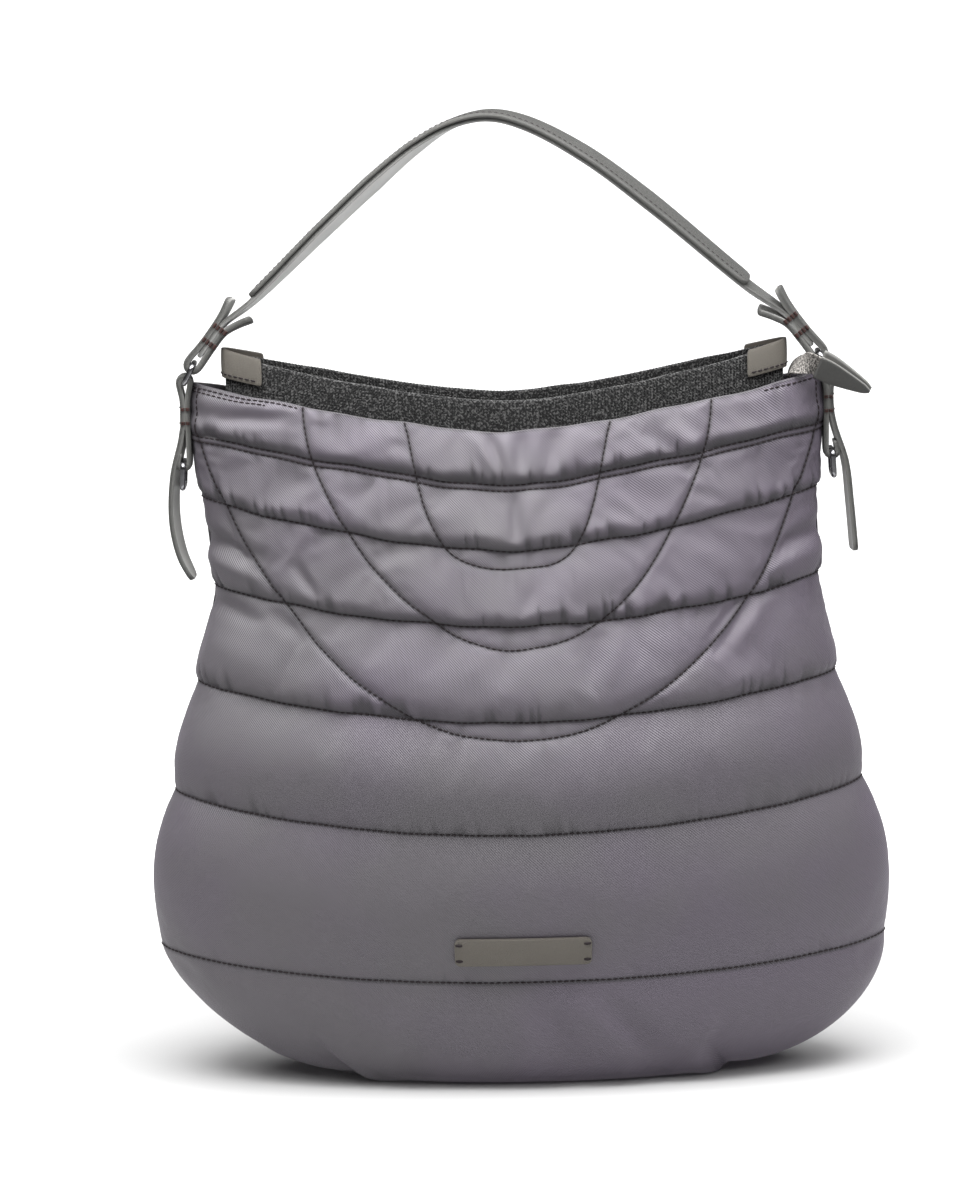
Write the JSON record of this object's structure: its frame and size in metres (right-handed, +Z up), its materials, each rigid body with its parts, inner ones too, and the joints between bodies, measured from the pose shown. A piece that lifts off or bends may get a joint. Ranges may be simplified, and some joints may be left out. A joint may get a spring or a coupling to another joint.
{
  "type": "quilted hobo bag",
  "caption": "Soft padded nylon shoulder bag with sewn channels and nested U seams, a knitted collar at the open mouth, and a leather handle linked by metal rings to side straps.",
  "frame": {"origin": "on the floor under the middle of the body", "axes": "+Z up through the handle, -Y out of the quilted front with the label, +X to the viewer's right when facing that front"},
  "size_m": [0.4022, 0.1548, 0.5219],
  "materials": {
    "nylon": "grey-mauve nylon twill with a soft satin sheen",
    "knit": "charcoal flecked rib knit, matt",
    "leather": "grained grey leather, satin, dark brown stitching",
    "taupe_leather": "smooth taupe leather, satin, dark brown stitching",
    "zip_cloth": "woven zip tape, matt",
    "gunmetal": "polished dark gunmetal plating"
  },
  "bodies": {
    "root": {"front_panel": "nylon", "back_panel": "nylon", "knit_collar": "knit", "collar_tab_left": "taupe_leather", "collar_tab_right": "taupe_leather", "zip_tape": "zip_cloth", "zip_end_tab": "leather", "label_patch": "taupe_leather", "handle_strap": "leather", "handle_cover": "leather", "handle_loop_left": "leather", "handle_loop_right": "leather", "ring_left": "gunmetal", "ring_right": "gunmetal", "side_strap_left": "leather", "side_strap_right": "leather", "strap_ring_left": "gunmetal", "strap_ring_right": "gunmetal"}
  },
  "joints": []
}
